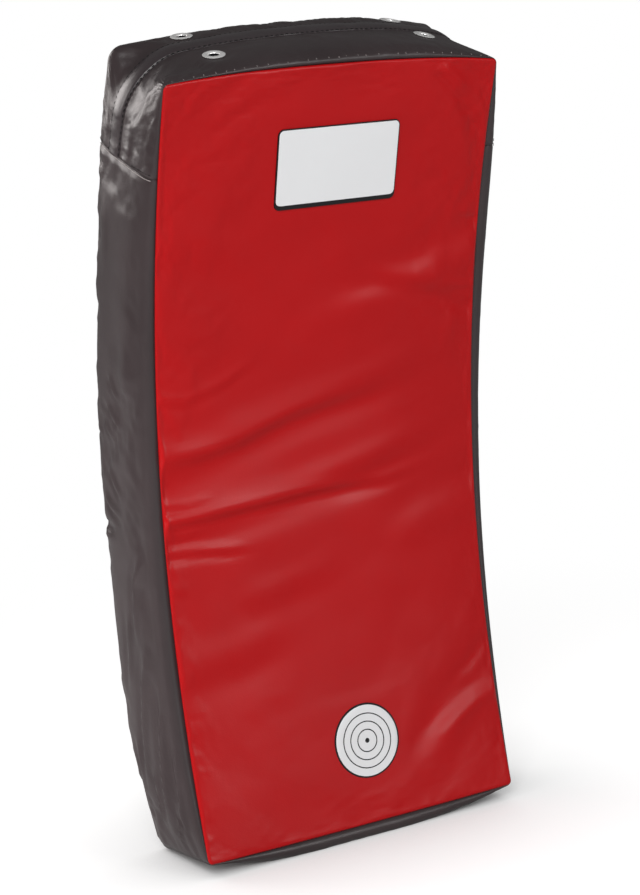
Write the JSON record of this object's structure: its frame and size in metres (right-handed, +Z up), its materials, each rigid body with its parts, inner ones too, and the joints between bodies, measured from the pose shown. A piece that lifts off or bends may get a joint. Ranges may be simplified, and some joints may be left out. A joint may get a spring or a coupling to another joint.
{
  "type": "strike shield",
  "caption": "Tall padded training shield, concave at the struck face, with a zipped vinyl cover, top eyelets, face patches and back grips.",
  "frame": {"origin": "on the ground, in the middle of the flattened foot that the shield stands on", "axes": "+Z up along the shield's height, -Y out of the struck face, X across it"},
  "size_m": [0.3958, 0.2904, 0.8144],
  "materials": {
    "red_vinyl": "glossy vinyl-coated cloth, red",
    "black_vinyl": "satin vinyl-coated cloth, black",
    "white_vinyl": "smooth white vinyl",
    "firm_foam": "closed-cell foam, dark blue-grey",
    "soft_foam": "open-cell foam, grey",
    "nickel": "nickel-plated steel",
    "webbing": "woven webbing, black",
    "grip_vinyl": "padded vinyl, black",
    "zip_tape": "woven zip tape, black",
    "zip_teeth": "moulded plastic, black"
  },
  "bodies": {
    "shield": {"front_panel": "red_vinyl", "back_panel": "black_vinyl", "left_side_panel": "black_vinyl", "right_side_panel": "black_vinyl", "bottom_panel": "black_vinyl", "top_gusset_front": "black_vinyl", "top_gusset_rear": "black_vinyl", "zip_flap": "black_vinyl", "zip_tape_front": "zip_tape", "zip_tape_rear": "zip_tape", "zip_teeth_front": "zip_teeth", "zip_teeth_rear": "zip_teeth", "zip_stop_left": "zip_teeth", "zip_stop_right": "zip_teeth", "strike_foam": "firm_foam", "core_foam": "soft_foam", "back_foam": "firm_foam", "eyelet_front_left": "nickel", "eyelet_front_right": "nickel", "eyelet_rear_left": "nickel", "eyelet_rear_right": "nickel", "washer_front_left": "nickel", "washer_front_right": "nickel", "washer_rear_left": "nickel", "washer_rear_right": "nickel", "label_backing": "black_vinyl", "label_face": "white_vinyl", "target_patch": "white_vinyl", "upper_patch_left": "black_vinyl", "upper_patch_right": "black_vinyl", "upper_strap_left_end": "webbing", "upper_strap_right_end": "webbing", "lower_patch_left": "black_vinyl", "lower_patch_right": "black_vinyl", "lower_strap_left_end": "webbing", "lower_strap_right_end": "webbing"},
    "zip_slider_body": {"zip_slider": "nickel"},
    "zip_pull_tab_body": {"zip_pull_tab": "nickel"},
    "upper_handle": {"upper_strap": "webbing", "upper_grip": "grip_vinyl"},
    "lower_handle": {"lower_strap": "webbing", "lower_grip": "grip_vinyl"}
  },
  "joints": [
    {"name": "zip_slider_run", "type": "hinge", "parent": "shield", "child": "zip_slider_body", "pos_m": [-0.20184, -0.02857, 0.67176], "axis": [0.0191, -0.9396, -0.3417], "range_deg": [0, 2.8]},
    {"name": "zip_pull_tab_hinge", "type": "hinge", "parent": "zip_slider_body", "child": "zip_pull_tab_body", "pos_m": [0.19647, -0.03672, 0.71647], "axis": [0.0191, -0.9396, -0.3417], "range_deg": [0, 150]},
    {"name": "upper_handle_swing", "type": "hinge", "parent": "shield", "child": "upper_handle", "pos_m": [0, 0.0732, 0.5518], "axis": [1, 0, 0], "range_deg": [-15, 15], "stiffness_Nm_per_rad": 0.4},
    {"name": "lower_handle_swing", "type": "hinge", "parent": "shield", "child": "lower_handle", "pos_m": [0, 0.10288, 0.28849], "axis": [1, 0, 0], "range_deg": [-15, 15], "stiffness_Nm_per_rad": 0.4}
  ]
}
